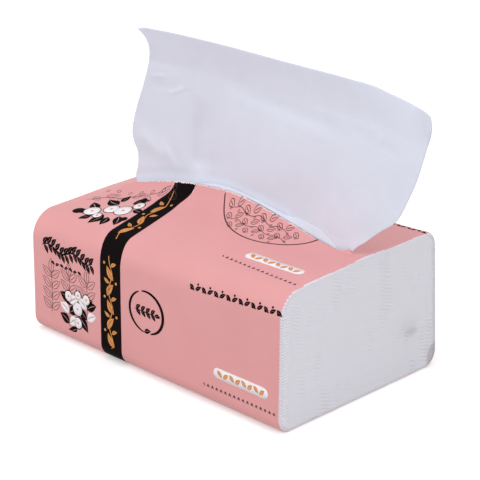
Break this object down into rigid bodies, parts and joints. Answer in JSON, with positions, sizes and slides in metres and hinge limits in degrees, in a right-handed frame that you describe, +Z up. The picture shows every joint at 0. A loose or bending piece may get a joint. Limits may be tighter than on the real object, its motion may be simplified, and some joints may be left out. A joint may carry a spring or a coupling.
{
  "type": "soft pack of facial tissues",
  "caption": "Soft pack of facial tissues: a printed film bag with a tented top and a torn lens-shaped slot, one sheet drawn up through it.",
  "frame": {"origin": "centre of the underside of the base", "axes": "+X along the pack towards its taller end, +Y from the front wall to the back wall, +Z up"},
  "size_m": [0.212, 0.1125, 0.158],
  "materials": {
    "printed_film": "satin printed film",
    "tissue_paper": "soft matt paper",
    "black_ink": "printed on film",
    "amber_ink": "printed on film",
    "brown_ink": "printed on film",
    "white_ink": "printed on film"
  },
  "bodies": {
    "root": {"film_wrapper": "printed_film", "tissue_stack": "tissue_paper", "next_tissue": "tissue_paper", "pulled_tissue": "tissue_paper", "printed_band": "black_ink", "band_leaves": "amber_ink", "printed_rings": "brown_ink", "printed_circle": "brown_ink", "printed_labels": "white_ink", "printed_sprigs": "brown_ink"}
  },
  "joints": []
}
